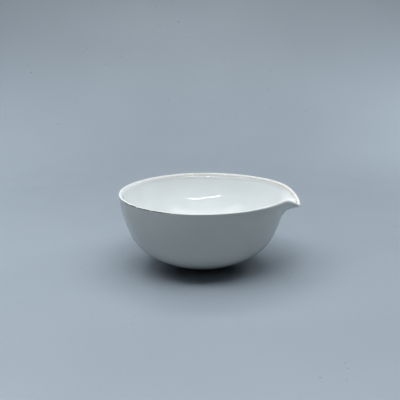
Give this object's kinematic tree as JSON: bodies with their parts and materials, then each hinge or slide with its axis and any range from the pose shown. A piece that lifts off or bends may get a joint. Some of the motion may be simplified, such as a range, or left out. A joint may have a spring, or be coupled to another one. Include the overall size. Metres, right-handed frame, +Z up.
{
  "type": "evaporating dish",
  "caption": "Round-bottomed porcelain laboratory dish with a flared rim, a dipped pouring lip and a small ground flat to stand on.",
  "frame": {"origin": "centre of the ground flat under the bowl, on the surface that the dish stands on", "axes": "+Z up out of the bowl, +X from the middle of the bowl toward the pouring lip"},
  "size_m": [0.0967, 0.089, 0.0403],
  "materials": {
    "bare_porcelain": "unglazed hard porcelain, matt, bare along the rim and on the ground foot",
    "inner_glaze": "clear glossy glaze over white porcelain",
    "outer_glaze": "clear glossy glaze over white porcelain"
  },
  "bodies": {
    "root": {"porcelain_body": "bare_porcelain", "inner_glaze": "inner_glaze", "outer_glaze": "outer_glaze"}
  },
  "joints": []
}
